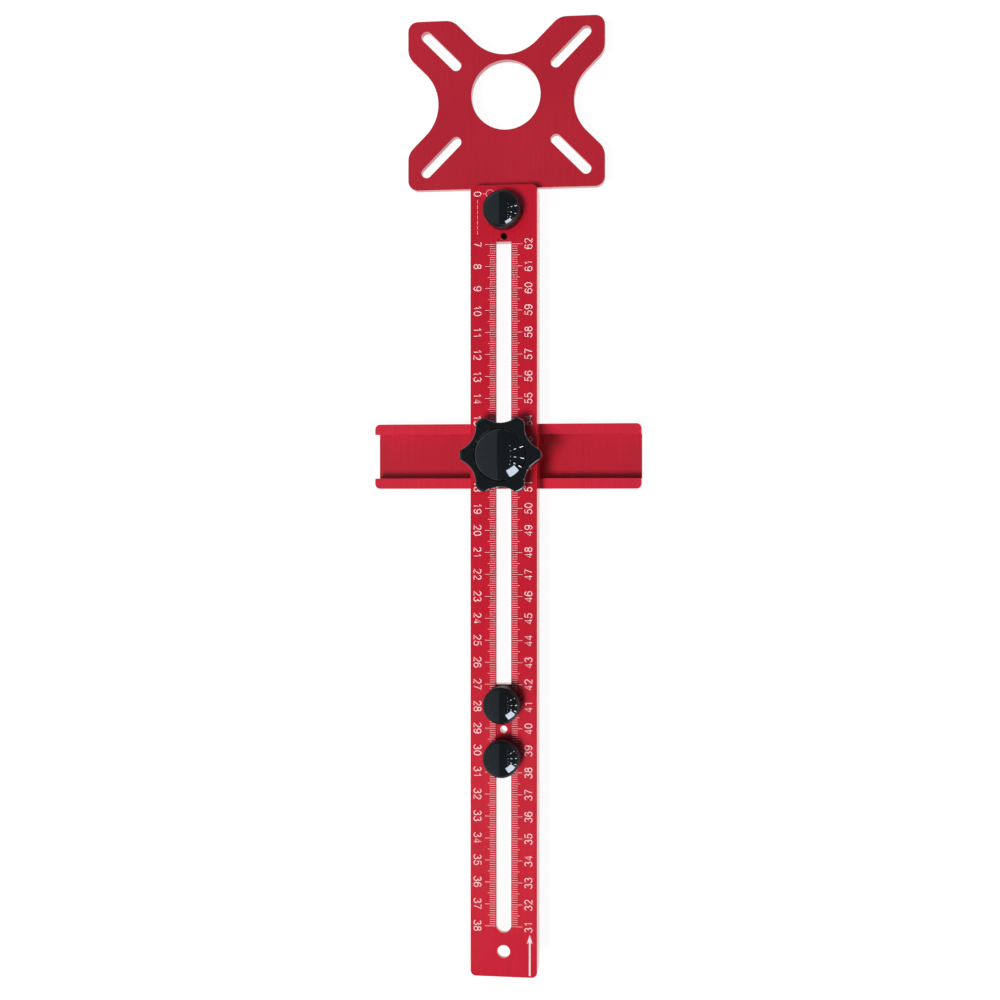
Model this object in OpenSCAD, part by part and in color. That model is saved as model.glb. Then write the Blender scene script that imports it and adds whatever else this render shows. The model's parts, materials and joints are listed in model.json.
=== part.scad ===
// Router circle cutting jig, in millimetres.
// A router plate is clamped to a graduated channel bar. A pivot slider and an edge
// fence are clamped in the bar's slot. The origin is the cutter's axis on the sole
// plane, the bar runs along -Y, and +Z points up to the router.

/* [Router plate] */
// Width across the arms
plate_w = 91; // [86:1:104]
// Cutter axis to the tips of the far arms
plate_far = 35; // [33:0.5:42]
// Cutter axis to the edge that meets the bar
plate_near = 43; // [42:0.5:52]
// Thickness of the plate
plate_t = 4; // [3.5:0.25:6]
// Diameter of the cutter hole
cutter_d = 32; // [26:0.5:33]
// Metal between the cutter hole and the hollow at the far edge
far_web = 2.6; // [2:0.1:5]
// Metal between the cutter hole and the hollow at each side
side_web = 15.4; // [12:0.2:17]
// Radius of the hollows between the arms
hollow_r = 20; // [18:0.5:22]
// Angle of a hollow's straight flanks to the plate's edge, in degrees
flank_angle = 45; // [42:1:48]
// Radius of the arms' outer corners
arm_corner_r = 4.5; // [2.5:0.25:5.5]
// Radius where a hollow's flank meets the plate's edge
mouth_r = 8; // [3:0.5:9]

/* [Router slots] */
// Centre line to the middle of each diagonal slot
router_slot_x = 30; // [28:0.5:34]
// Cutter axis to the row of slots in the far arms
router_slot_far = 21; // [20:0.5:24]
// Cutter axis to the row of slots in the near arms
router_slot_near = 28; // [26:0.5:30]
// Width of each slot
router_slot_w = 4.8; // [4:0.1:5.5]
// Length of each slot, end to end
router_slot_l = 24.3; // [18:0.1:26]

/* [Ruler bar] */
// Width of the bar
bar_w = 30.5; // [29:0.5:36]
// Height of the bar
bar_h = 12; // [11:0.25:16]
// Length of the bar
bar_l = 360; // [340:0.5:420]
// Thickness of the bar's top web
web_t = 2.5; // [2:0.1:3.5]
// Thickness of the bar's side walls
wall_t = 3; // [2:0.1:3.5]
// Corner radius at the ends of the bar, in plan
bar_corner_r = 2.5; // [1:0.25:4]
// Width of the long slot
slot_w = 6.8; // [6.5:0.1:8]
// Plate end of the bar to the first round end's centre
slot_start = 26.5; // [25:0.5:34]
// Free end of the bar to the last round end's centre
slot_end = 23.5; // [20:0.5:30]
// Diameter of the hole drilled at the slot's first end
start_hole_d = 2.8; // [2:0.1:3.2]
// Diameter of the hole at the free end
end_hole_d = 5.8; // [4:0.1:8]
// Free end of the bar to that hole's centre
end_hole_inset = 11.5; // [9:0.5:13]

/* [Connector] */
// Thickness of the plate's tongue under the connector block
tongue_t = 3; // [2.5:0.1:3.4]
// Length of the tongue
tongue_l = 22; // [20:0.5:24]
// Length of the connector block
block_l = 25; // [23:0.1:26]
// Gap from the bar's end to the connector block
block_setback = 0.5; // [0.2:0.1:1]
// Depth of the drilled hole in the connector block
start_hole_depth = 4; // [2:0.5:5]
// Diameter of the connector screws
joint_screw_d = 4; // [3:0.5:4]
// Diameter of the connector screws' heads
joint_head_d = 7.6; // [7:0.1:8]
// Centre line to each connector screw
joint_screw_x = 7; // [6.8:0.1:7.4]
// Length of each connector screw
joint_screw_l = 8; // [6:0.25:8.5]

/* [Small knobs] */
// Diameter over the flutes
knob_d = 16.6; // [14:0.2:18]
// Height of the fluted skirt
knob_skirt_h = 9.8; // [8:0.1:13]
// Height of the dome above the skirt
knob_dome_h = 3.5; // [2:0.1:5]
// Height of the smooth rim between the flutes and the dome
knob_rim_h = 1.2; // [0.8:0.1:2]
// Chamfer at the foot of the skirt
knob_foot = 0.6; // [0.5:0.05:1]
// Number of flutes round the skirt
flute_count = 40; // [24:2:48]
// Diameter of the cutter that leaves each flute
flute_d = 1.1; // [0.6:0.05:1.2]
// Depth of each flute
flute_depth = 0.35; // [0.2:0.05:0.45]
// Diameter of the threaded studs
stud_d = 5; // [4:0.5:6]
// Length of stud held inside a knob
stud_grip = 6.5; // [4:0.25:6.75]
// Plate end of the bar to the plate knob's axis
plate_knob_inset = 12.75; // [11:0.25:13]

/* [Pivot slider] */
// Cutter axis to the pivot hole, as set on the scale
slider_reach = 290.4; // [250:0.1:340]
// Length of the slider
slider_l = 41; // [36:0.5:46]
// Thickness of the slider's flange
slider_flange_t = 3.8; // [2.5:0.1:5]
// How far the slider's key stays below the bar's face
key_drop = 0.2; // [0.1:0.1:1]
// Diameter of the pivot hole
pivot_d = 3.2; // [2:0.1:5]
// Distance between the slider's two knobs
slider_knob_pitch = 24; // [22:0.5:28]

/* [Edge fence] */
// Cutter axis to the fence's screw, as set on the scale
fence_reach = 166; // [110:0.5:200]
// Length of the fence
fence_l = 124; // [100:1:180]
// Width of the fence
fence_w = 30; // [26:0.5:40]
// Height of the fence
fence_h = 14.5; // [13:0.25:20]
// Thickness of the fence's walls
fence_wall_t = 4.8; // [3:0.1:6]
// Thickness of the fence's floor
fence_floor_t = 4; // [3.5:0.1:5]
// Corner radius of the fence, in plan
fence_corner_r = 2.3; // [1:0.1:3]
// Diameter of the fence screw
fence_screw_d = 6; // [5:0.5:6]
// Diameter of the fence screw's head
fence_head_d = 12; // [10:0.25:12.5]
// Outside diameter of the split washer
lock_washer_d = 11.8; // [10:0.1:13]
// Thickness of the split washer
lock_washer_t = 1.6; // [1:0.1:2]
// Width of the split in that washer
lock_washer_split = 1.2; // [0.8:0.1:2]
// Width of the hex nut across its flats
nut_af = 10; // [8:0.5:11]
// Height of the hex nut
nut_h = 5; // [3:0.25:6]

/* [Star knob] */
// Diameter over the lobes
star_d = 37.2; // [35:0.2:42]
// Radius at the bottom of the valleys between the lobes
valley_r = 14.3; // [13.5:0.1:14.8]
// Radius of each lobe's tip
lobe_r = 3.2; // [2.8:0.1:3.6]
// Number of lobes
lobe_count = 6; // [5:1:7]
// Height of the lobed body
star_h = 8; // [6:0.25:12]
// Radius on the lobed body's upper and lower rims
star_rim_r = 1.6; // [0.8:0.1:2.5]
// Diameter of the hub below the lobes
hub_d = 18; // [15:0.5:22]
// Height of the hub below the lobes
hub_h = 4.7; // [3:0.1:8]
// Diameter of the washer under the hub
star_washer_d = 18; // [14:0.5:22]
// Thickness of the washer under the hub
star_washer_t = 1.2; // [0.8:0.1:2]
// Outside diameter of the threaded insert
insert_d = 10; // [8:0.5:12]
// Length of the threaded insert
insert_l = 10.5; // [7:0.25:10.75]
// Diameter of the domed cap
cap_d = 23; // [20:0.5:25]
// Height of the dome above the lobed body
cap_dome_h = 4.5; // [3:0.25:7]
// Depth of the cap's seat in the lobed body
cap_seat = 1; // [0.5:0.1:1.4]

/* [Fits] */
// Side clearance of a piece that slides in the slot
slide_gap = 0.1; // [0.05:0.05:0.2]
// Clearance round a thread
thread_gap = 0.05; // [0.02:0.01:0.1]
// Gap left under a clamping face
seat_gap = 0.1; // [0.05:0.05:0.2]
// Side clearance inside the bar's channel
channel_gap = 0.2; // [0.1:0.05:0.4]
// Clearance of a screw in a plain hole
hole_gap = 0.15; // [0.1:0.05:0.3]

/* [Hidden] */

$fn = 64;
// Cuts run this far past the face that they open.
past = 1;
// Rounded corners stand this far proud of the two edges that they blend.
blend = 0.002;

anodised_red = "#b8283a";
knob_black = "#14171a";
steel = "#b4b6b8";
brass = "#c9a352";

// Bar: its two ends and its channel
bar_top_y = -plate_near;
bar_free_y = bar_top_y - bar_l;
web_under_z = bar_h - web_t;
channel_w = bar_w - 2 * wall_t;
inner_w = channel_w - 2 * channel_gap;
slot_first_y = bar_top_y - slot_start;
slot_last_y = bar_free_y + slot_end;
start_hole_y = slot_first_y + slot_w / 2;
end_hole_y = bar_free_y + end_hole_inset;

// Plate: deepest points of its hollows
far_hollow_y = cutter_d / 2 + far_web;
side_hollow_x = cutter_d / 2 + side_web;
side_hollow_y = (router_slot_far - router_slot_near) / 2;

// Connector
plate_knob_y = bar_top_y - plate_knob_inset;
block_top_y = bar_top_y - block_setback;

// Knobs
knob_seat_z = bar_h + seat_gap;
knob_r = knob_d / 2;
stud_hole_r = stud_d / 2 + thread_gap;

// Slider
slider_y = -slider_reach;
key_w = slot_w - 2 * slide_gap;
key_top_z = bar_h - key_drop;
flange_top_z = web_under_z - seat_gap;
flange_under_z = flange_top_z - slider_flange_t;

// Fence
fence_y = -fence_reach;
fence_floor_z = -fence_h + fence_floor_t;
lock_washer_top_z = fence_floor_z + lock_washer_t;
screw_hole_r = fence_screw_d / 2 + thread_gap;

// Star knob
star_washer_top_z = bar_h + star_washer_t;
hub_z = star_washer_top_z + seat_gap;
star_z = hub_z + hub_h;
star_top_z = star_z + star_h;
insert_top_z = hub_z + insert_l;
// Room left between the screw's tip and the insert's upper end
insert_room = 0.6;
screw_tip_z = insert_top_z - insert_room;
lobe_centre_r = star_d / 2 - lobe_r;

// Screws and studs: hex socket and tapered tip as shares of the diameter or of the head
socket_share = 0.75;
socket_depth_share = 0.7;
tip_share = 0.75;
tip_l_share = 0.125;
nut_chamfer_angle = 30;

// Radius of the dome that rises h above a base circle of radius r
function dome_radius(r, h) = (r * r + h * h) / (2 * h);

function unit(v) = v / norm(v);

// Trims the corner p of a 2D shape to the radius r. The directions a and b
// run from p along the two edges that meet there.
module round_corner(p, a, b, r) {
    u = unit(a);
    v = unit(b);
    half = acos(u * v) / 2;
    reach = r / tan(half);
    c = p + unit(u + v) * r / sin(half);
    tangent_u = p + u * reach;
    tangent_v = p + v * reach;
    difference() {
        polygon([
            c,
            tangent_u + unit(tangent_u - c) * past,
            p + unit(p - c) * 2 * past,
            tangent_v + unit(tangent_v - c) * past
        ]);
        translate(c) circle(r + blend);
    }
}

// Rectangle from corner low to corner high with all corners rounded
module round_rect(low, high, r) {
    difference() {
        translate(low) square(high - low);
        round_corner(low, [1, 0], [0, 1], r);
        round_corner([high.x, low.y], [-1, 0], [0, 1], r);
        round_corner(high, [-1, 0], [0, -1], r);
        round_corner([low.x, high.y], [1, 0], [0, -1], r);
    }
}

// Slot with round ends, lying along Y between the two end centres
module slot_2d(w, first_y, last_y) {
    translate([-w / 2, last_y]) square([w, first_y - last_y]);
    translate([0, first_y]) circle(d = w);
    translate([0, last_y]) circle(d = w);
}

// Half-width of a hollow's mouth, at the distance depth from its deepest point
function mouth_half(depth) =
    hollow_r * sin(flank_angle)
    + (depth - hollow_r * (1 - cos(flank_angle))) / tan(flank_angle);

// Hollow between two arms: deepest at the origin, open towards +Y, with its mouth
// corners rounded at the plate's edge
module hollow_2d(depth) {
    touch = [hollow_r * sin(flank_angle), hollow_r * (1 - cos(flank_angle))];
    beyond = depth + past;
    wide = mouth_half(beyond);
    translate([0, hollow_r]) circle(hollow_r, $fn = 128);
    polygon([[-touch.x, touch.y], touch, [wide, beyond], [-wide, beyond]]);
    for (side = [-1, 1])
        round_corner(
            [side * mouth_half(depth), depth],
            [side, 0],
            [-side * cos(flank_angle), -sin(flank_angle)],
            mouth_r
        );
}

module plate_outline() {
    half_w = plate_w / 2;
    difference() {
        round_rect([-half_w, -plate_near], [half_w, plate_far], arm_corner_r);
        translate([0, far_hollow_y]) hollow_2d(plate_far - far_hollow_y);
        for (turn = [-90, 90])
            translate([-sign(turn) * side_hollow_x, side_hollow_y])
                rotate(turn) hollow_2d(half_w - side_hollow_x);
    }
}

// Four diagonal slots for the router's base screws
module router_slots() {
    straight = router_slot_l - router_slot_w;
    for (side = [-1, 1])
        for (row = [[router_slot_far, -side], [-router_slot_near, side]])
            translate([side * router_slot_x, row[0]])
                rotate(45 * row[1])
                    slot_2d(router_slot_w, straight / 2, -straight / 2);
}

// Countersunk hole that opens downwards at z = 0
module countersink(d, head_d, depth) {
    translate([0, 0, -past]) cylinder(h = depth + 2 * past, d = d);
    translate([0, 0, -past])
        cylinder(h = past + (head_d - d) / 2, d1 = head_d + 2 * past, d2 = d);
}

// Countersunk screw standing on its head at z = 0, with a hex socket in the head
module countersunk_screw(d, head_d, l) {
    head_h = (head_d - d) / 2;
    tip_l = d * tip_l_share;
    difference() {
        union() {
            cylinder(h = head_h, d1 = head_d, d2 = d);
            cylinder(h = l - tip_l, d = d);
            translate([0, 0, l - tip_l]) cylinder(h = tip_l, d1 = d, d2 = d * tip_share);
        }
        translate([0, 0, -past])
            cylinder(h = past + head_h * socket_depth_share, d = d * socket_share, $fn = 6);
    }
}

module router_plate() {
    color(anodised_red)
    difference() {
        union() {
            linear_extrude(plate_t) difference() {
                plate_outline();
                router_slots();
                circle(d = cutter_d, $fn = 128);
            }
            translate([-inner_w / 2, bar_top_y - tongue_l, 0])
                cube([inner_w, tongue_l + past, tongue_t]);
        }
        for (side = [-1, 1])
            translate([side * joint_screw_x, plate_knob_y, 0])
                countersink(
                    joint_screw_d + 2 * hole_gap,
                    joint_head_d + 2 * hole_gap,
                    tongue_t
                );
    }
}

module ruler_bar() {
    color(anodised_red)
    difference() {
        linear_extrude(bar_h)
            round_rect([-bar_w / 2, bar_free_y], [bar_w / 2, bar_top_y], bar_corner_r);
        translate([-channel_w / 2, bar_free_y - past, -past])
            cube([channel_w, bar_l + 2 * past, web_under_z + past]);
        translate([0, 0, web_under_z - past]) linear_extrude(web_t + 2 * past) {
            slot_2d(slot_w, slot_first_y, slot_last_y);
            translate([0, start_hole_y]) circle(d = start_hole_d);
            translate([0, end_hole_y]) circle(d = end_hole_d);
            translate([0, plate_knob_y]) circle(d = stud_d + 2 * hole_gap);
        }
    }
}

module connector_block() {
    color(anodised_red)
    difference() {
        translate([-inner_w / 2, block_top_y - block_l, tongue_t])
            cube([inner_w, block_l, web_under_z - tongue_t]);
        translate([0, plate_knob_y, tongue_t - past])
            cylinder(h = bar_h, r = stud_hole_r);
        for (side = [-1, 1])
            translate([side * joint_screw_x, plate_knob_y, tongue_t - past])
                cylinder(h = joint_screw_l - tongue_t + 2 * past, d = joint_screw_d + 2 * thread_gap);
        translate([0, start_hole_y, web_under_z - start_hole_depth])
            cylinder(h = start_hole_depth + past, d = start_hole_d);
    }
}

module connector_screws() {
    color(steel)
    for (side = [-1, 1])
        translate([side * joint_screw_x, plate_knob_y, 0])
            countersunk_screw(joint_screw_d, joint_head_d, joint_screw_l);
}

// Half section of a small knob, from its seat to the top of its dome
module knob_profile() {
    dome_r = dome_radius(knob_r, knob_dome_h);
    rim_z = knob_skirt_h - knob_rim_h;
    skirt_top_z = knob_skirt_h - knob_rim_h / 2;
    polygon([
        [0, 0], [knob_r - knob_foot, 0], [knob_r, knob_foot],
        [knob_r, skirt_top_z], [0, skirt_top_z]
    ]);
    intersection() {
        translate([0, knob_skirt_h + knob_dome_h - dome_r]) circle(dome_r, $fn = 128);
        translate([0, rim_z]) square([knob_r, knob_rim_h + knob_dome_h + past]);
    }
}

// Small fluted knob with a domed top, standing on the bar's face at the given Y
module small_knob(y) {
    color(knob_black)
    translate([0, y, knob_seat_z])
    difference() {
        rotate_extrude($fn = 96) knob_profile();
        for (i = [0 : flute_count - 1])
            rotate((i + 0.5) * 360 / flute_count)
                translate([knob_r + flute_d / 2 - flute_depth, 0, -past])
                    cylinder(h = knob_skirt_h - knob_rim_h + past, d = flute_d, $fn = 16);
        translate([0, 0, -past]) cylinder(h = stud_grip + past + thread_gap, r = stud_hole_r);
    }
}

// Threaded stud of a small knob, from the underside of what it screws into
module stud(y, under_z) {
    tip_l = stud_d * tip_l_share;
    color(steel)
    translate([0, y, under_z]) {
        cylinder(h = tip_l, d1 = stud_d * tip_share, d2 = stud_d);
        translate([0, 0, tip_l])
            cylinder(h = knob_seat_z + stud_grip - under_z - tip_l, d = stud_d);
    }
}

module plate_knob() {
    small_knob(plate_knob_y);
}

module plate_stud() {
    stud(plate_knob_y, tongue_t + seat_gap);
}

// T-section of the slider: flange under the web, key in the slot
module slider_section() {
    translate([-inner_w / 2, flange_under_z]) square([inner_w, slider_flange_t]);
    translate([-key_w / 2, flange_under_z]) square([key_w, key_top_z - flange_under_z]);
}

module slider_block() {
    color(anodised_red)
    difference() {
        translate([0, slider_y + slider_l / 2, 0])
            rotate([90, 0, 0]) linear_extrude(slider_l) slider_section();
        translate([0, slider_y, 0]) cylinder(h = bar_h, d = pivot_d);
        for (side = [-1, 1])
            translate([0, slider_y + side * slider_knob_pitch / 2, 0])
                cylinder(h = bar_h, r = stud_hole_r);
    }
}

module upper_slider_knob() {
    small_knob(slider_y + slider_knob_pitch / 2);
}

module upper_slider_stud() {
    stud(slider_y + slider_knob_pitch / 2, flange_under_z);
}

module lower_slider_knob() {
    small_knob(slider_y - slider_knob_pitch / 2);
}

module lower_slider_stud() {
    stud(slider_y - slider_knob_pitch / 2, flange_under_z);
}

module fence_channel() {
    half = [fence_l / 2, fence_w / 2];
    groove_w = fence_w - 2 * fence_wall_t;
    color(anodised_red)
    translate([0, fence_y, -fence_h])
    difference() {
        linear_extrude(fence_h) round_rect(-half, half, fence_corner_r);
        translate([-half.x - past, -groove_w / 2, fence_floor_t])
            cube([fence_l + 2 * past, groove_w, fence_h]);
        countersink(fence_screw_d + 2 * hole_gap, fence_head_d + 2 * hole_gap, fence_floor_t);
    }
}

module fence_screw() {
    color(steel)
    translate([0, fence_y, -fence_h])
        countersunk_screw(fence_screw_d, fence_head_d, screw_tip_z + fence_h);
}

module fence_lock_washer() {
    color(steel)
    translate([0, fence_y, fence_floor_z])
    difference() {
        cylinder(h = lock_washer_t, d = lock_washer_d);
        translate([0, 0, -past]) cylinder(h = lock_washer_t + 2 * past, r = screw_hole_r);
        translate([0, -lock_washer_split / 2, -past])
            cube([lock_washer_d, lock_washer_split, lock_washer_t + 2 * past]);
    }
}

// Hex nut with its corners chamfered on both faces
module fence_nut() {
    flat_r = nut_af / 2;
    corner_r = flat_r / cos(30);
    out = corner_r + past;
    drop = (out - flat_r) * tan(nut_chamfer_angle);
    color(steel)
    translate([0, fence_y, lock_washer_top_z])
    difference() {
        intersection() {
            rotate(30) cylinder(h = nut_h, r = corner_r, $fn = 6);
            rotate_extrude() polygon([
                [0, 0], [flat_r, 0], [out, drop], [out, nut_h - drop], [flat_r, nut_h], [0, nut_h]
            ]);
        }
        translate([0, 0, -past]) cylinder(h = nut_h + 2 * past, r = screw_hole_r);
    }
}

module star_washer() {
    color(steel)
    translate([0, fence_y, bar_h])
    difference() {
        cylinder(h = star_washer_t, d = star_washer_d);
        translate([0, 0, -past])
            cylinder(h = star_washer_t + 2 * past, d = fence_screw_d + 2 * hole_gap);
    }
}

// Outline of the lobed body: round tips joined by hollow valleys that touch them
module star_2d() {
    step = 360 / lobe_count;
    spread = cos(step / 2);
    bite_r = (pow(lobe_centre_r, 2) + pow(valley_r, 2) - 2 * lobe_centre_r * valley_r * spread
        - pow(lobe_r, 2)) / (2 * (lobe_r - valley_r + lobe_centre_r * spread));
    bite_centre_r = valley_r + bite_r;
    difference() {
        union() {
            for (i = [0 : lobe_count - 1])
                rotate(i * step) translate([lobe_centre_r, 0]) circle(lobe_r);
            polygon([
                for (i = [0 : lobe_count - 1], side = [-1, 1])
                    let (
                        tip = lobe_centre_r * [cos(i * step), sin(i * step)],
                        at = (i + side / 2) * step,
                        bite = bite_centre_r * [cos(at), sin(at)]
                    )
                    tip + unit(bite - tip) * lobe_r
            ]);
        }
        for (i = [0 : lobe_count - 1])
            rotate((i + 0.5) * step) translate([bite_centre_r, 0]) circle(bite_r, $fn = 96);
    }
}

// Half section that rounds the lobed body's rims
module star_rim_profile() {
    out = star_d / 2;
    difference() {
        square([out, star_h]);
        round_corner([out, 0], [-1, 0], [0, 1], star_rim_r);
        round_corner([out, star_h], [-1, 0], [0, -1], star_rim_r);
    }
}

module star_knob() {
    color(knob_black)
    translate([0, fence_y, 0])
    difference() {
        union() {
            translate([0, 0, star_z]) intersection() {
                linear_extrude(star_h) star_2d();
                rotate_extrude($fn = 128) star_rim_profile();
            }
            translate([0, 0, hub_z]) cylinder(h = hub_h + past, d = hub_d);
        }
        translate([0, 0, hub_z - past])
            cylinder(h = insert_l + past + thread_gap, d = insert_d + 2 * thread_gap);
        translate([0, 0, star_top_z - cap_seat])
            cylinder(h = cap_seat + past, d = cap_d + 2 * seat_gap);
    }
}

module star_knob_insert() {
    color(brass)
    translate([0, fence_y, hub_z])
    difference() {
        cylinder(h = insert_l, d = insert_d);
        translate([0, 0, -past]) cylinder(h = insert_l + 2 * past, r = screw_hole_r);
    }
}

module star_knob_cap() {
    dome_r = dome_radius(cap_d / 2, cap_dome_h);
    color(knob_black)
    translate([0, fence_y, star_top_z])
    rotate_extrude($fn = 128) {
        translate([0, -cap_seat]) square([cap_d / 2, cap_seat]);
        intersection() {
            translate([0, cap_dome_h - dome_r]) circle(dome_r, $fn = 160);
            square([cap_d / 2, cap_dome_h]);
        }
    }
}

router_plate();
ruler_bar();
connector_block();
connector_screws();
plate_knob();
plate_stud();
slider_block();
upper_slider_knob();
upper_slider_stud();
lower_slider_knob();
lower_slider_stud();
fence_channel();
fence_screw();
fence_lock_washer();
fence_nut();
star_washer();
star_knob();
star_knob_insert();
star_knob_cap();
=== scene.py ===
"""Router circle cutting jig: eased edges, screw threads, printed scale, finishes and studio."""
import json
import math

import bmesh
import bpy
from bpy.props import FloatProperty, FloatVectorProperty, IntProperty, PointerProperty
from mathutils import Matrix, Vector

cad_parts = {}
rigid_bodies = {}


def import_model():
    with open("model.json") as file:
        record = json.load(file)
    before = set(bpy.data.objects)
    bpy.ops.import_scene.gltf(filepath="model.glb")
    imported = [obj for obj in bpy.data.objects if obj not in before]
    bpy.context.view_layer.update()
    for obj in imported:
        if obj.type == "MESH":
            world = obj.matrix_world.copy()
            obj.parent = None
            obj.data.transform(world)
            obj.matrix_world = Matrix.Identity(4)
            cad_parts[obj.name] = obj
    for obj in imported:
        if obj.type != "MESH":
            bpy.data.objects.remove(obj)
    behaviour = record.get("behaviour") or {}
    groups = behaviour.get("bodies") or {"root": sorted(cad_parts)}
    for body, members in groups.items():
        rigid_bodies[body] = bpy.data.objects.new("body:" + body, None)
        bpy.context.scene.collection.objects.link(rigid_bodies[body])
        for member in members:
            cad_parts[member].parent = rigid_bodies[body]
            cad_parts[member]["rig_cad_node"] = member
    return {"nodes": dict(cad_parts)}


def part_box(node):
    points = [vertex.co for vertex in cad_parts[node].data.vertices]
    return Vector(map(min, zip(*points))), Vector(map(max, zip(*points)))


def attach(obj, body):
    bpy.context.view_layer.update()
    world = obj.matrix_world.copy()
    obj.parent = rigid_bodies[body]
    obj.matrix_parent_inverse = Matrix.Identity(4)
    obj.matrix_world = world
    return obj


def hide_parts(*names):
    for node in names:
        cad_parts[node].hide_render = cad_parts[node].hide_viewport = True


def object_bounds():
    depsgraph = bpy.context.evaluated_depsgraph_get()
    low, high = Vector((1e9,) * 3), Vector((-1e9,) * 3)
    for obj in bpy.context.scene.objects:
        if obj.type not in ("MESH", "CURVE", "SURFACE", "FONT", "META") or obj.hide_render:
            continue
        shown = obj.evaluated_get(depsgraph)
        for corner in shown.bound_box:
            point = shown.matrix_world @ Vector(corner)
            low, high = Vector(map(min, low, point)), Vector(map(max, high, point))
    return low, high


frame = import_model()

bl_info = {
    "name": "Router Circle Cutting Jig",
    "version": (1, 0, 0),
    "blender": (4, 5, 0),
    "location": "View3D > Sidebar > Circle Jig",
    "description": "Dresses the jig's solids with eased edges, threads, a printed scale and finishes",
    "category": "Add Mesh",
}

CAD_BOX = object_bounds()
MM = 0.001
CM = 0.01
BAR_LOW, BAR_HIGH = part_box("ruler_bar")
FACE_Z = BAR_HIGH.z
# Distance within which vertices are merged, in a solid's mesh and in a thread
SOLID_MERGE = 0.002 * MM
THREAD_MERGE = 0.001 * MM
# Depth of a metric thread as a share of its pitch
THREAD_DEPTH = 0.6134
# Turns that a thread is made too long, half of them at each end, before its ends are cut
SPARE_TURNS = 3
# Greatest turn between two faces that count as one flat face
FLAT_ANGLE = math.radians(0.2)
# Least turn between two faces at an edge that is eased, and at one that shades sharp
EASED_ANGLE = math.radians(40)
SHARP_ANGLE = math.radians(32)
# Least height of the unit normal of a face that looks up
UPWARD = 0.9


def linear(code):
    """Linear RGB of an sRGB hex colour such as #b8283a."""
    values = [int(code[i:i + 2], 16) / 255 for i in (1, 3, 5)]
    return [v / 12.92 if v <= 0.04045 else ((v + 0.055) / 1.055) ** 2.4 for v in values]


def colour_prop(name, description, code):
    """Colour setting that starts from an sRGB hex value."""
    return FloatVectorProperty(
        name=name, description=description, subtype="COLOR", size=3, min=0, max=1, default=linear(code)
    )


def place_prop(name, description, metres):
    """Place setting in metres."""
    return FloatVectorProperty(
        name=name, description=description, subtype="XYZ", unit="LENGTH", default=metres
    )


def way_prop(name, description, way):
    """Direction setting, of any length."""
    return FloatVectorProperty(name=name, description=description, subtype="XYZ", default=way)


def distance_prop(name, description, metres):
    """Distance setting in metres."""
    return FloatProperty(
        name=name, description=description, subtype="DISTANCE", unit="LENGTH", default=metres
    )


def length_prop(name, description, millimetres):
    """Length setting that starts from a value in millimetres."""
    return distance_prop(name, description, millimetres * MM)


def size_prop(name, description, metres):
    """Width and height setting in metres."""
    return FloatVectorProperty(name=name, description=description, unit="LENGTH", size=2, default=metres)


def power_prop(name, description, watts):
    """Lamp power setting in watts."""
    return FloatProperty(
        name=name, description=description, subtype="POWER", unit="POWER", default=watts
    )


def share_prop(name, description, share):
    """Share setting between none and all."""
    return FloatProperty(
        name=name, description=description, subtype="FACTOR", min=0, max=1, default=share
    )


class JigFinish(bpy.types.PropertyGroup):
    """Colours of the finishes and how far the edges are eased"""

    red: colour_prop("Anodised red", "Dyed layer of the bar and the slider", "#e31c34")
    # The plate red is the plate's own dye. On the connector block and the fence's sunk floor it is
    # painted shade.
    plate_red: colour_prop("Plate red", "Dyed layer of the plate, and painted shade on the block and the fence's floor", "#d4273a")
    fence_red: colour_prop("Fence red", "Dyed layer of the fence's flanges", "#f02c44")
    # Near-black red painted as shade in the block's drilled hole, so that the hole looks dark.
    pit_red: colour_prop("Pit red", "Dark red painted as shade in the drilled hole", "#240a0d")
    black: colour_prop("Knob black", "Moulded plastic of the knobs", "#0c0f11")
    zinc: colour_prop("Zinc", "Plating of the studs, screws, nut and washers", "#c3c6c9")
    brass: colour_prop("Brass", "Threaded insert in the star knob", "#d2ae62")
    plate_ease: length_prop("Plate edge", "Width of the eased edges on the router plate", 0.35)
    bar_ease: length_prop("Bar edge", "Width of the eased edges on the bar and the fence", 0.25)
    block_ease: length_prop("Block edge", "Width of the eased edges on the slider and the block", 0.2)
    knob_ease: length_prop("Knob edge", "Width of the eased edges on the small knobs and the cap", 0.07)
    star_ease: length_prop("Star edge", "Width of the eased edges on the star knob", 0.6)
    steel_ease: length_prop("Steel edge", "Width of the eased edges on screws, nut and washers", 0.12)
    # Upward faces of the fence sunk deeper than this take the painted floor shade.
    floor_drop: length_prop("Floor drop", "Least depth of the fence's floor below its flanges", 5.0)
    # The hole's place and reach pick the block's faces that take the painted hole shade.
    hole_y: length_prop("Hole place", "Place of the drilled hole along the bar", -66.1)
    hole_r: length_prop("Hole reach", "Reach of the painted shade about the drilled hole", 1.6)
    dome_rise: share_prop("Dome rise", "Least height of the unit normal on a small knob's dome", 0.76)


class JigThread(bpy.types.PropertyGroup):
    """Screw threads on the studs and the fence screw"""

    stud_pitch: length_prop("Stud pitch", "Thread pitch of the small knobs' studs", 0.8)
    screw_pitch: length_prop("Screw pitch", "Thread pitch of the fence screw", 1.0)
    head_height: length_prop("Head height", "Height of the fence screw's countersunk head", 3.0)
    steps: IntProperty(name="Steps", description="Steps in one turn of a thread", default=24, min=8)


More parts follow.
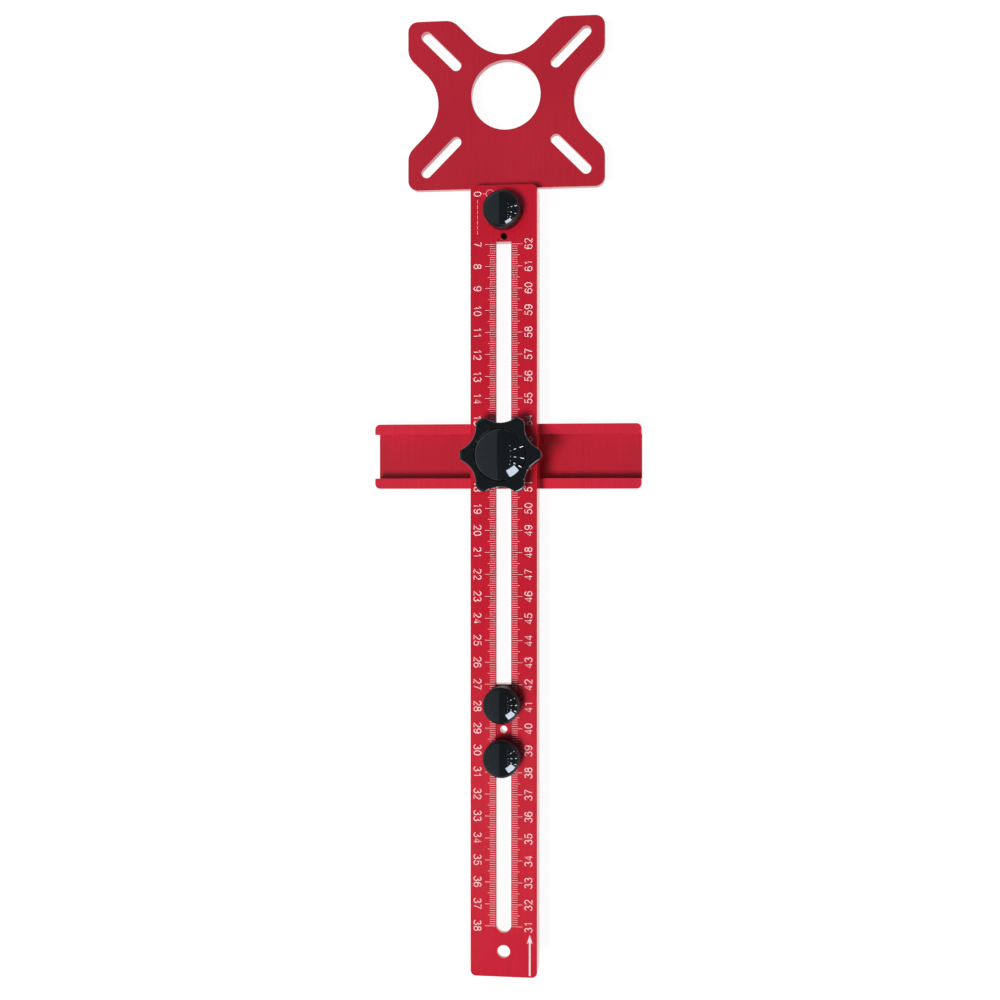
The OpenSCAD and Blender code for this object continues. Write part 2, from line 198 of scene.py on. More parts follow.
class JigScale(bpy.types.PropertyGroup):
    """Printed scale on the bar's face"""

    ink: colour_prop("Ink", "Pale marks printed on the red face", "#fadadd")
    first: IntProperty(name="First number", description="First centimetre on the left", default=7)
    last: IntProperty(name="Last number", description="Last centimetre on the left", default=38)
    right_sum: IntProperty(name="Sum", description="Sum of the two numbers beside one mark", default=69)
    lift: length_prop("Lift", "Height of the printed layer above the bar's face", 0.01)
    start: length_prop("Start", "Centre line to the inner end of a mark", 3.75)
    width: length_prop("Width", "Width of a mark", 0.14)
    long: length_prop("Centimetre mark", "Length of a centimetre mark", 4.8)
    middle: length_prop("Half mark", "Length of a half-centimetre mark", 3.5)
    short: length_prop("Millimetre mark", "Length of a millimetre mark", 2.6)
    digit: length_prop("Digit height", "Height of a digit", 3.6)
    digit_w: length_prop("Digit width", "Width of a digit", 2.25)
    digit_step: length_prop("Digit step", "Distance from one digit to the next", 2.7)
    pen: length_prop("Pen", "Width of a digit's strokes", 0.35)
    left_x: length_prop("Left column", "Centre of the left numbers", -12.0)
    right_x: length_prop("Right column", "Centre of the right numbers", 11.3)
    zero_y: length_prop("Zero", "Place of the zero along the bar", -47.0)
    ring_x: length_prop("Ring place", "Centre of the ring beside the zero", -6.2)
    ring_r: length_prop("Ring", "Radius of the ring beside the zero", 1.9)
    lead_x: length_prop("Lead", "Start of the short line from the zero to the ring", -9.6)
    dash_y: length_prop("First dash", "Place of the first dash below the zero", -50.6)
    dash_step: length_prop("Dash step", "Distance from one dash to the next", 2.35)
    dash_l: length_prop("Dash", "Length of a dash", 1.6)
    dashes: IntProperty(name="Dashes", description="Dashes from the zero to the first number", default=7)
    arrow_l: length_prop("Arrow", "Length of the arrow at the free end", 18.6)
    arrow_x: length_prop("Arrow place", "Centre line to the arrow", 11.9)
    arrow_inset: length_prop("Arrow inset", "Free end of the bar to the arrow's foot", 0.9)
    shaft: length_prop("Arrow shaft", "Width of the arrow's shaft", 0.76)
    head_l: length_prop("Arrow head", "Length of the arrow's head", 4.1)
    head_w: length_prop("Arrow barbs", "Width of the arrow's head", 2.6)
    notch: length_prop("Arrow notch", "Depth of the notch in the arrow's head", 1.2)


class JigStage(bpy.types.PropertyGroup):
    """Camera, floor and studio light"""

    camera: place_prop("Camera", "Place of the camera", (0.08077, -0.18447, 0.6686))
    aim: place_prop("Aim", "Point that the camera looks at", (-0.00168, -0.18618, 0.012))
    lens: FloatProperty(
        name="Lens", description="Focal length in millimetres", subtype="DISTANCE_CAMERA", unit="CAMERA",
        default=52.43,
    )
    floor: colour_prop("Floor", "White studio floor", "#ffffff")
    floor_width: distance_prop("Floor width", "Width of the floor", 8.0)
    floor_grey: share_prop("Floor grey", "Share of the light that the floor gives back", 0.85)
    floor_glow: FloatProperty(name="Floor glow", description="Strength of the floor's glow", default=1.1)
    glow_share: share_prop("Glow share", "Share of the glow in what is seen of the floor", 0.86)
    bright_side: colour_prop("Bright side", "White studio wall on the left", "#cfe2ef")
    dark_side: colour_prop("Dark side", "Unlit studio on the right", "#7c8892")
    wall_edge: FloatVectorProperty(
        name="Wall edge", description="Sideways directions between which the wall fades into the dark",
        size=2, default=(-0.245, -0.175),
    )
    room: FloatProperty(name="Room", description="Strength of the room's light", default=0.33)
    lit_point: place_prop("Lit point", "Point that the lamps face", (0, -0.17, 0.02))
    window: power_prop("Window", "Power of the window light", 11.0)
    window_tint: colour_prop("Window tint", "Daylight in the window", "#e4efff")
    window_way: way_prop("Window side", "Direction of the window", (0.49, -0.745, 0.45))
    window_far: distance_prop("Window distance", "Distance of the window", 1.2)
    window_size: size_prop("Window size", "Width and height of the window", (0.6, 0.58))
    key: power_prop("Key", "Power of the key light", 100.0)
    key_way: way_prop("Key side", "Direction of the key light", (-0.18, -0.26, 0.95))
    key_far: distance_prop("Key distance", "Distance of the key light", 3.0)
    key_size: size_prop("Key size", "Width and height of the key light", (0.72, 0.72))
    tubes: power_prop("Tubes", "Power of a whole ceiling tube", 1.1)
    tube_far: distance_prop("Tube distance", "Distance of the ceiling tubes", 1.6)


def select_only(piece):
    """Leaves one object selected and active, in object mode."""
    if bpy.context.mode != "OBJECT":
        bpy.ops.object.mode_set(mode="OBJECT")
    bpy.ops.object.select_all(action="DESELECT")
    piece.select_set(True)
    bpy.context.view_layer.objects.active = piece


def edit_all():
    """Enters edit mode on the active object with everything selected."""
    bpy.ops.object.mode_set(mode="EDIT")
    bpy.ops.mesh.select_all(action="SELECT")


def pick_corner(mesh, corner):
    """Selects one vertex alone in a mesh that is in edit mode."""
    for vertex in mesh.verts:
        vertex.select_set(vertex is corner)
    mesh.select_flush_mode()


def cut_flat(place, side):
    """Cuts the active mesh flat at a place along Z, drops what is on that side, and closes the cut."""
    edit_all()
    bpy.ops.mesh.bisect(plane_co=place, plane_no=(0, 0, side), use_fill=True, clear_outer=True)
    bpy.ops.object.mode_set(mode="OBJECT")


def thicken(lift):
    """Gives the flat active mesh its thickness, half below the bar's face and half above."""
    edit_all()
    bpy.ops.mesh.extrude_region_move(TRANSFORM_OT_translate={"value": (0, 0, 2 * lift)})
    bpy.ops.mesh.select_all(action="SELECT")
    bpy.ops.mesh.normals_make_consistent(inside=False)
    bpy.ops.object.mode_set(mode="OBJECT")


def apply_modifier(kind, **settings):
    """Adds a modifier to the active object with its settings, and applies it."""
    bpy.ops.object.modifier_add(type=kind)
    modifier = bpy.context.object.modifiers[-1]
    for key, value in settings.items():
        setattr(modifier, key, value)
    bpy.ops.object.modifier_apply(modifier=modifier.name)


def join(pieces):
    """Joins several objects into the first one, with its place in its mesh."""
    select_only(pieces[0])
    for piece in pieces:
        piece.select_set(True)
    if len(pieces) > 1:
        bpy.ops.object.join()
    bpy.ops.object.transform_apply(location=True, rotation=True, scale=True)
    return bpy.context.object


def finish_piece(piece, name, body, materials, nodes=()):
    """Names a piece, gives it its finish, and makes it ride on its body in place of its CAD nodes."""
    select_only(piece)
    bpy.ops.object.transform_apply(location=True, rotation=True, scale=True)
    bpy.ops.object.shade_smooth_by_angle(angle=SHARP_ANGLE)
    apply_modifier("WEIGHTED_NORMAL", mode="FACE_AREA", weight=100, keep_sharp=True)
    piece.name = piece.data.name = name
    indices = [p.material_index for p in piece.data.polygons]
    piece.data.materials.clear()
    for material in materials:
        piece.data.materials.append(material)
    for polygon, index in zip(piece.data.polygons, indices):
        polygon.material_index = min(index, len(materials) - 1)
    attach(piece, body)
    if nodes:
        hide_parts(*nodes)
    return piece


def solid_copy(node):
    """Copy of a CAD node as one merged mesh with flat faces in one piece."""
    select_only(frame["nodes"][node])
    bpy.ops.object.duplicate()
    piece = bpy.context.object
    del piece["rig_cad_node"]
    bpy.ops.object.parent_clear(type="CLEAR_KEEP_TRANSFORM")
    if piece.data.has_custom_normals:
        bpy.ops.mesh.customdata_custom_splitnormals_clear()
    edit_all()
    bpy.ops.mesh.remove_doubles(threshold=SOLID_MERGE)
    bpy.ops.mesh.dissolve_limited(angle_limit=FLAT_ANGLE)
    bpy.ops.object.mode_set(mode="OBJECT")
    return piece


def ease(piece, width, segments=2, clamp=True):
    """Eases the sharp edges of a piece."""
    select_only(piece)
    apply_modifier(
        "BEVEL", width=width, segments=segments, limit_method="ANGLE", angle_limit=EASED_ANGLE,
        miter_outer="MITER_ARC", use_clamp_overlap=clamp,
    )
    return piece


def eased_copy(node, width):
    """Copy of a CAD node with its sharp edges eased."""
    return ease(solid_copy(node), width)


def thread(x, y, low, high, diameter, pitch, steps):
    """Screw thread along Z, cut flat at both ends."""
    depth = THREAD_DEPTH * pitch
    turns = math.ceil((high - low) / pitch) + SPARE_TURNS
    start = low - SPARE_TURNS / 2 * pitch
    bpy.ops.object.select_all(action="DESELECT")
    bpy.ops.mesh.primitive_circle_add(
        vertices=4, radius=pitch / 2, location=(x, y, start), rotation=(math.pi / 2, 0, 0)
    )
    piece = bpy.context.object
    bpy.ops.object.transform_apply(location=False, rotation=True, scale=False)
    edit_all()
    bpy.ops.transform.resize(value=(2 * depth / pitch, 1, 1))
    bpy.ops.transform.translate(value=(diameter / 2 - depth, 0, 0))
    profile = bmesh.from_edit_mesh(piece.data)
    pick_corner(profile, min(profile.verts, key=lambda v: v.co.x))
    bpy.ops.mesh.delete(type="VERT")
    bpy.ops.object.mode_set(mode="OBJECT")
    apply_modifier(
        "SCREW", angle=2 * math.pi, screw_offset=pitch, iterations=turns, steps=steps,
        render_steps=steps, use_merge_vertices=True, merge_threshold=THREAD_MERGE,
    )
    cut_flat((x, y, low), -1)
    cut_flat((x, y, high), 1)
    edit_all()
    bpy.ops.mesh.remove_doubles(threshold=THREAD_MERGE)
    bpy.ops.mesh.normals_make_consistent(inside=False)
    bpy.ops.object.mode_set(mode="OBJECT")
    return piece


def add_node(tree, kind, inputs=None, **settings):
    """Adds a node with its settings. An input takes a value, or the output that it is linked from."""
    node = tree.nodes.new(kind)
    for key, value in settings.items():
        setattr(node, key, value)
    for key, value in (inputs or {}).items():
        if isinstance(value, bpy.types.NodeSocket):
            tree.links.new(value, node.inputs[key])
        else:
            node.inputs[key].default_value = value
    return node


def new_material(name):
    """Node material with an empty tree, and that tree."""
    material = bpy.data.materials.new(name)
    material.use_nodes = True
    material.node_tree.nodes.clear()
    return material, material.node_tree


def rgba(colour):
    """Colour with full alpha."""
    return (*colour, 1.0)


def scaled(colour, factor):
    """Colour made lighter or darker by a factor."""
    return tuple(min(c * factor, 1.0) for c in colour)


def object_place(tree):
    """Place on the object, in metres."""
    return add_node(tree, "ShaderNodeTexCoord").outputs["Object"]


def stretched(tree, place, size):
    """Place counted in steps of a size along each axis."""
    return add_node(
        tree, "ShaderNodeMapping", {"Vector": place, "Scale": [1 / s for s in size]}
    ).outputs["Vector"]


def noise(tree, place, size, detail, roughness=0.5):
    """Noise with features of about a size."""
    return add_node(
        tree, "ShaderNodeTexNoise",
        {"Vector": place, "Scale": 1 / size, "Detail": detail, "Roughness": roughness},
    ).outputs["Fac"]


def spread(tree, value, start, end, low, high):
    """Value from start to end spread over low to high."""
    return add_node(
        tree, "ShaderNodeMapRange",
        {"Value": value, "From Min": start, "From Max": end, "To Min": low, "To Max": high},
    ).outputs["Result"]


def ramp(tree, value, *stops):
    """Colour that runs from one stop to the other, each a value and its colour."""
    node = add_node(tree, "ShaderNodeValToRGB", {"Fac": value})
    for element, (position, colour) in zip(node.color_ramp.elements, stops):
        element.position = position
        element.color = rgba(colour)
    return node.outputs["Color"]


def combined(tree, operation, first, second):
    """Result of a math operation on two values."""
    return add_node(tree, "ShaderNodeMath", {0: first, 1: second}, operation=operation).outputs["Value"]


def mixed(tree, share, first, second):
    """Two shaders mixed by the share of the second."""
    return add_node(tree, "ShaderNodeMixShader", {"Fac": share, 1: first, 2: second}).outputs["Shader"]


def bump(tree, height, strength, distance):
    """Normal that follows a fine relief."""
    return add_node(
        tree, "ShaderNodeBump", {"Height": height, "Strength": strength, "Distance": distance}
    ).outputs["Normal"]


def surface(tree, inputs):
    """Principled shader with its inputs, as the material's surface."""
    shader = add_node(tree, "ShaderNodeBsdfPrincipled", inputs)
    add_node(tree, "ShaderNodeOutputMaterial", {"Surface": shader.outputs["BSDF"]})


def anodised(name, colour, roughness):
    """Red anodised aluminium, brushed along the bar: satin metal under a sealed layer that softly
    mirrors what stands on it, with faint long grain and slow drifts in the dye."""
    material, tree = new_material(name)
    place = object_place(tree)
    # Real brush lines are about 0.05 mm wide. They are drawn 0.45 mm wide so that they show.
    along = stretched(tree, place, (0.45 * MM, 24 * MM, 0.45 * MM))
    grain = noise(tree, along, 1.0, detail=3.0, roughness=0.6)
    # The dye drifts over about 45 mm.
    drift = noise(tree, place, 45 * MM, detail=2.0)
    both = combined(tree, "MULTIPLY", grain, drift)
    surface(tree, {
        "Base Color": ramp(tree, both, (0.12, scaled(colour, 0.9)), (0.42, scaled(colour, 1.06))),
        "Metallic": 0.4,
        "Roughness": spread(tree, grain, 0.3, 0.7, roughness - 0.04, roughness + 0.05),
        "Normal": bump(tree, grain, strength=0.25, distance=0.01 * MM),
        "Coat Weight": 0.8,
        "Coat Roughness": 0.1,
    })
    return material


def moulded(name, colour, roughness, specular):
    """Black ABS, injection moulded: deep black with mirror images that waver a little, because the
    skin shrank unevenly in the mould."""
    material, tree = new_material(name)
    place = object_place(tree)
    # The skin waves over about 5 mm.
    skin = noise(tree, place, 5 * MM, detail=1.0)
    # Handling leaves hazy patches about 3 mm across with finer specks in them.
    haze = noise(tree, place, 3 * MM, detail=5.0, roughness=0.7)
    surface(tree, {
        "Base Color": ramp(tree, haze, (0.3, scaled(colour, 0.8)), (0.8, scaled(colour, 1.3))),
        "Roughness": spread(tree, haze, 0.35, 0.75, roughness, roughness + 0.06),
        "Normal": bump(tree, skin, strength=0.3, distance=0.02 * MM),
        "Specular IOR Level": specular,
    })
    return material


def turned(name, colour, roughness):
    """Turned metal, plated or bare: fine rings left by the tool, and faint cloudy tarnish."""
    material, tree = new_material(name)
    place = object_place(tree)
    # Tool marks of about 0.1 mm are drawn 0.3 mm apart so that they show.
    along = stretched(tree, place, (4 * MM, 4 * MM, 0.3 * MM))
    rings = noise(tree, along, 1.0, detail=2.0)
    # The tarnish is in clouds about 2.5 mm across.
    tarnish = noise(tree, place, 2.5 * MM, detail=4.0)
    surface(tree, {
        "Base Color": ramp(tree, tarnish, (0.3, scaled(colour, 0.82)), (0.7, scaled(colour, 1.05))),
        "Metallic": 1.0,
        "Roughness": spread(tree, rings, 0.3, 0.7, roughness - 0.07, roughness + 0.09),
        "Normal": bump(tree, rings, strength=0.3, distance=0.01 * MM),
    })
    return material


def printed(name, colour):
    """Laser marking through the dye: a pale dull layer, speckled where the red still shows."""
    material, tree = new_material(name)
    # The speckles are about 0.35 mm across.
    speckle = noise(tree, object_place(tree), 0.35 * MM, detail=3.0)
    reddened = (colour[0] * 0.9, colour[1] * 0.72, colour[2] * 0.74)
    surface(tree, {
        "Base Color": ramp(tree, speckle, (0.25, reddened), (0.6, colour)),
        "Roughness": spread(tree, speckle, 0.0, 1.0, 0.5, 0.75),
    })
    return material


FINISHES = {}


class JIG_OT_finishes(bpy.types.Operator):
    """Makes the finishes that the pieces share"""

    bl_idname = "jig.finishes"
    bl_label = "Finishes"

    def execute(self, context):
        finish = context.scene.jig_finish
        FINISHES["red"] = anodised("Red anodised aluminium", finish.red, roughness=0.34)
        # The plate's own dull red. On the block and on the fence's floor it is painted shade.
        FINISHES["dull"] = anodised("Dull red anodised aluminium and painted shade", finish.plate_red, roughness=0.36)
        # Painted shade for the inside of the block's drilled hole.
        FINISHES["pit"] = anodised("Painted shade in a drilled hole", finish.pit_red, roughness=0.5)
        FINISHES["fence"] = anodised("Red anodised extrusion", finish.fence_red, roughness=0.34)
        FINISHES["black"] = moulded("Glossy black ABS", finish.black, roughness=0.03, specular=0.95)
        FINISHES["grip"] = moulded("Satin black ABS", finish.black, roughness=0.45, specular=0.3)
        FINISHES["zinc"] = turned("Zinc-plated steel", finish.zinc, roughness=0.3)
        FINISHES["brass"] = turned("Turned brass", finish.brass, roughness=0.28)
        FINISHES["ink"] = printed("Laser marking", context.scene.jig_scale.ink)
        return {"FINISHED"}


class JIG_OT_red_parts(bpy.types.Operator):
    """Eases the edges of the plate, bar, fence, slider and connector block, and paints shade on the
    block, in its drilled hole and on the fence's floor
    """

    bl_idname = "jig.red_parts"
    bl_label = "Anodised Parts"

    def execute(self, context):
        finish = context.scene.jig_finish
        for node, body, width, outside, inside in (
            ("router_plate", "frame", finish.plate_ease, "dull", "dull"),
            ("ruler_bar", "frame", finish.bar_ease, "red", "red"),
            # The block's darker red is painted shade where it shows at the slot's end.
            ("connector_block", "frame", finish.block_ease, "dull", "pit"),
            ("slider_block", "slider", finish.block_ease, "red", "red"),
            ("fence_channel", "fence", finish.bar_ease, "fence", "dull"),
        ):
            piece = eased_copy(node, width)
            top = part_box(node)[1].z
            for face in piece.data.polygons:
                # Faces in the block's drilled hole take the painted hole shade.
                if node == "connector_block":
                    across = math.hypot(face.center.x, face.center.y - finish.hole_y)
                    face.material_index = int(across < finish.hole_r and face.center.z < top - width)
                # The fence's sunk floor takes the darker red: painted shade in the channel, darker than
                # the flanges.
                if node == "fence_channel":
                    sunk = face.center.z < top - finish.floor_drop
                    face.material_index = int(sunk and face.normal.z > UPWARD)
            materials = [FINISHES[outside], FINISHES[inside]]
            finish_piece(piece, node + "_finished", body, materials, [node])
        return {"FINISHED"}


class JIG_OT_small_knobs(bpy.types.Operator):
    """Eases the flutes and rims of the three small knobs, with glossy domes and satin skirts"""

    bl_idname = "jig.small_knobs"
    bl_label = "Small Knobs"

    def execute(self, context):
        finish = context.scene.jig_finish
        for knob in ("plate_knob", "upper_slider_knob", "lower_slider_knob"):
            piece = eased_copy(knob, finish.knob_ease)
            for face in piece.data.polygons:
                face.material_index = int(face.normal.z < finish.dome_rise)
            materials = [FINISHES["black"], FINISHES["grip"]]
            finish_piece(piece, knob + "_moulding", knob, materials, [knob])
        return {"FINISHED"}


class JIG_OT_star_knob(bpy.types.Operator):
    """Eases the star knob, its cap and its brass insert"""

    bl_idname = "jig.star_knob"
    bl_label = "Star Knob"

    def execute(self, context):
        finish = context.scene.jig_finish
        black, brass = [FINISHES["black"]], [FINISHES["brass"]]
        body = ease(solid_copy("star_knob"), finish.star_ease, segments=4, clamp=False)
        finish_piece(body, "star_knob_moulding", "star_knob", black, ["star_knob"])
        cap = eased_copy("star_knob_cap", finish.knob_ease)
        finish_piece(cap, "star_cap_moulding", "star_knob", black, ["star_knob_cap"])
        insert = eased_copy("star_knob_insert", finish.steel_ease)
        finish_piece(
            insert, "star_insert_turning", "star_insert", brass, ["star_knob_insert"]
        )
        return {"FINISHED"}


class JIG_OT_steel_parts(bpy.types.Operator):
    """Eases the washers, the nut and the connector screws"""

    bl_idname = "jig.steel_parts"
    bl_label = "Nut, Washers and Connector Screws"

    def execute(self, context):
        width = context.scene.jig_finish.steel_ease
        for node, body in (
            ("connector_screws", "frame"),
            ("fence_lock_washer", "fence"),
            ("fence_nut", "fence"),
            ("star_washer", "fence_carriage"),
        ):
            piece = eased_copy(node, width)
            finish_piece(piece, node + "_plated", body, [FINISHES["zinc"]], [node])
        return {"FINISHED"}


class JIG_OT_threads(bpy.types.Operator):
    """Cuts the threads of the small knobs' studs and of the fence screw"""

    bl_idname = "jig.threads"
    bl_label = "Threads"

    def execute(self, context):
        sizes = context.scene.jig_thread
        for stud in ("plate_stud", "upper_slider_stud", "lower_slider_stud"):
            low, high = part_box(stud)
            middle = (low + high) / 2
            piece = thread(
                middle.x, middle.y, low.z, high.z, high.x - low.x, sizes.stud_pitch, sizes.steps
            )
            finish_piece(piece, stud + "_threaded", stud, [FINISHES["zinc"]], [stud])
        low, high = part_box("fence_screw")
        middle = (low + high) / 2
        neck = low.z + sizes.head_height
        head = solid_copy("fence_screw")
        cut_flat((middle.x, middle.y, neck), 1)
        across = (high.x - low.x) - 2 * sizes.head_height
        shank = thread(middle.x, middle.y, neck, high.z, across, sizes.screw_pitch, sizes.steps)
        piece = join([head, shank])
        finish_piece(
            piece, "fence_screw_threaded", "fence", [FINISHES["zinc"]], ["fence_screw"]
        )
        return {"FINISHED"}


def stroke(low, high, lift):
    """Flat printed stroke from corner low to corner high on the bar's face."""
    bpy.ops.object.select_all(action="DESELECT")
    bpy.ops.mesh.primitive_plane_add(
        size=1, location=((low[0] + high[0]) / 2, (low[1] + high[1]) / 2, FACE_Z - lift)
    )
    piece = bpy.context.object
    piece.scale = (abs(high[0] - low[0]), abs(high[1] - low[1]), 1)
    bpy.ops.object.transform_apply(location=True, rotation=True, scale=True)
    thicken(lift)
    return piece


def arc(x, y, across, up, start, end, steps=10):
    """Points on an ellipse about x, y, from one angle to another in degrees."""
    angles = [math.radians(start + (end - start) * i / steps) for i in range(steps + 1)]
    return [(x + across * math.cos(a), y + up * math.sin(a)) for a in angles]


# Pen strokes of the digits in a box one wide and one high
SIX = [[
    *arc(0.5, 0.72, 0.44, 0.28, 15, 90, 5),
    *arc(0.5, 0.5, 0.5, 0.5, 105, 165, 4),
    *arc(0.5, 0.3, 0.5, 0.3, 180, 540, 16),
]]
DIGITS = {
    "0": [arc(0.5, 0.5, 0.5, 0.5, 90, 450, 18)],
    "1": [[(0.24, 0.77), (0.48, 0.88), (0.64, 1), (0.64, 0)]],
    "2": [[*arc(0.5, 0.72, 0.48, 0.28, 172, -28), (0.55, 0.32), (0.03, 0), (1, 0)]],
    "3": [[*arc(0.48, 0.77, 0.42, 0.23, 165, -80), *arc(0.48, 0.27, 0.52, 0.27, 75, -168)]],
    "4": [[(0.74, 0), (0.74, 1), (0, 0.26), (1, 0.26)]],
    "5": [[(0.93, 1), (0.2, 1), (0.08, 0.47), *arc(0.48, 0.32, 0.52, 0.32, 135, -168)]],
    "6": SIX,
    "7": [[(0, 1), (1, 1), (0.72, 0.68), (0.5, 0.34), (0.38, 0)]],
    "8": [arc(0.5, 0.77, 0.42, 0.23, -90, 270, 14), arc(0.5, 0.27, 0.5, 0.27, 90, 450, 16)],
    "9": [[(1 - x, 1 - y) for x, y in line] for line in SIX],
}


def pen_line(points, width, lift):
    """Flat printed line through the points, drawn about the origin."""
    bpy.ops.object.select_all(action="DESELECT")
    bpy.ops.mesh.primitive_plane_add(size=width)
    edit_all()
    bpy.ops.mesh.merge(type="CENTER")
    bpy.ops.transform.translate(value=(*points[0], 0))
    for (x, y), (next_x, next_y) in zip(points, points[1:]):
        bpy.ops.mesh.extrude_vertices_move(TRANSFORM_OT_translate={"value": (next_x - x, next_y - y, 0)})
    bpy.ops.object.mode_set(mode="OBJECT")
    bpy.ops.object.convert(target="CURVE")
    line = bpy.context.object.data
    line.bevel_depth = width / 2
    line.bevel_resolution = 0
    line.use_fill_caps = True
    bpy.ops.object.convert(target="MESH")
    piece = bpy.context.object
    piece.scale.z = lift / (width / 2)
    bpy.ops.object.transform_apply(location=True, rotation=True, scale=True)
    return piece


def digit_set(scale):
    """The ten digits, each modelled once about the origin."""
    width, height = scale.digit_w - scale.pen, scale.digit - scale.pen
    return {
        digit: join([
            pen_line([((x - 0.5) * width, (y - 0.5) * height) for x, y in line], scale.pen, scale.lift)
            for line in lines
        ])
        for digit, lines in DIGITS.items()
    }


def number(digits, body, x, y, step, turn):
    """Copies of the digits that make a number centred at x, y on the bar's face."""
    made = []
    for i, digit in enumerate(body):
        along = (i - (len(body) - 1) / 2) * step
        select_only(digits[digit])
        bpy.ops.object.duplicate()
        piece = bpy.context.object
        piece.location = (x + along * math.cos(turn), y + along * math.sin(turn), FACE_Z)
        piece.rotation_euler.z = turn
        made.append(piece)
    return made


class JIG_OT_scale(bpy.types.Operator):
    """Prints the centimetre scale, its numbers, the zero mark and the arrow on the bar"""

    bl_idname = "jig.scale"
    bl_label = "Printed Scale"

    def marks(self, scale):
        """Ten marks modelled once, mirrored across the slot and repeated along it."""
        half = scale.width / 2
        tens = []
        for i in range(10):
            length = scale.long if i == 0 else scale.middle if i == 5 else scale.short
            y = -scale.first * CM - i * MM
            tens.append(stroke((scale.start, y - half), (scale.start + length, y + half), scale.lift))
        group = join(tens)
        apply_modifier("MIRROR", use_axis=(True, False, False))
        apply_modifier(
            "ARRAY", count=scale.last - scale.first, use_relative_offset=False, use_constant_offset=True,
            constant_offset_displace=(0, -CM, 0),
        )
        y = -scale.last * CM
        inner, outer = scale.start, scale.start + scale.long
        ends = [
            stroke((side * inner, y - half), (side * outer, y + half), scale.lift) for side in (-1, 1)
        ]
        return [group, *ends]

    def numbers(self, scale):
        """Left column reads downwards, right column upwards."""
        digits = digit_set(scale)
        down, up = -math.pi / 2, math.pi / 2
        made = number(digits, "0", scale.left_x, scale.zero_y, scale.digit_step, down)
        for n in range(scale.first, scale.last + 1):
            y = -n * CM
            made += number(digits, str(n), scale.left_x, y, scale.digit_step, down)
            made += number(digits, str(scale.right_sum - n), scale.right_x, y, scale.digit_step, up)
        bpy.ops.object.select_all(action="DESELECT")
        for piece in digits.values():
            piece.select_set(True)
        bpy.ops.object.delete()
        return made

    def zero(self, scale):
        """Short line and ring beside the zero, and the dashed line down to the first number."""
        half, y = scale.width / 2, scale.zero_y
        lead = stroke((scale.lead_x, y - half), (scale.ring_x - scale.ring_r, y + half), scale.lift)
        bpy.ops.object.select_all(action="DESELECT")
        bpy.ops.mesh.primitive_circle_add(
            vertices=40, radius=scale.ring_r, fill_type="NGON",
            location=(scale.ring_x, y, FACE_Z - scale.lift),
        )
        ring = bpy.context.object
        edit_all()
        bpy.ops.mesh.inset(thickness=scale.width)
        bpy.ops.mesh.delete(type="FACE")
        thicken(scale.lift)
        dashes = []
        for i in range(scale.dashes):
            y = scale.dash_y - i * scale.dash_step
            dashes.append(stroke(
                (scale.left_x - half, y - scale.dash_l / 2), (scale.left_x + half, y + scale.dash_l / 2),
                scale.lift,
            ))
        return [lead, ring, *dashes]

    def arrow(self, scale):
        """Arrow that points up the bar from its free end."""
        foot = BAR_LOW.y + scale.arrow_inset
        barb_y = foot + scale.arrow_l - scale.head_l
        x, half = scale.arrow_x, scale.shaft / 2
        shaft = stroke((x - half, foot), (x + half, barb_y + scale.notch), scale.lift)
        bpy.ops.object.select_all(action="DESELECT")
        bpy.ops.mesh.primitive_circle_add(
            vertices=4, radius=scale.head_w / 2, fill_type="NGON",
            location=(x, barb_y, FACE_Z - scale.lift),
        )
        head = bpy.context.object
        # The diamond's far corner becomes the tip, and its near corner the notch.
        for pick, reach in ((max, scale.head_l), (min, scale.notch)):
            bpy.ops.object.mode_set(mode="EDIT")
            outline = bmesh.from_edit_mesh(head.data)
            corner = pick(outline.verts, key=lambda v: v.co.y)
            pick_corner(outline, corner)
            bpy.ops.transform.translate(value=(0, reach - corner.co.y, 0))
            bpy.ops.object.mode_set(mode="OBJECT")
        thicken(scale.lift)
        return [shaft, head]

    def execute(self, context):
        scale = context.scene.jig_scale
        piece = join([
            *self.marks(scale), *self.numbers(scale), *self.zero(scale), *self.arrow(scale)
        ])
        finish_piece(piece, "printed_scale", "frame", [FINISHES["ink"]])
        return {"FINISHED"}


# Ceiling tubes that the domes mirror: name, size, share of a whole tube's power, and for each metre up
# the reach to the right and the places along the bar
TUBES = (
    ("near_tube", (0.04, 0.06), 0.06, 0.56, (0.62, 0.25, -0.09, -0.36, -0.62)),
    ("middle_tube", (0.028, 0.22), 0.38, 0.97, (0.43, -0.14, -0.62)),
    ("far_tube", (0.035, 0.46), 1.0, 2.7, (1.18, -0.38, -1.7)),
)


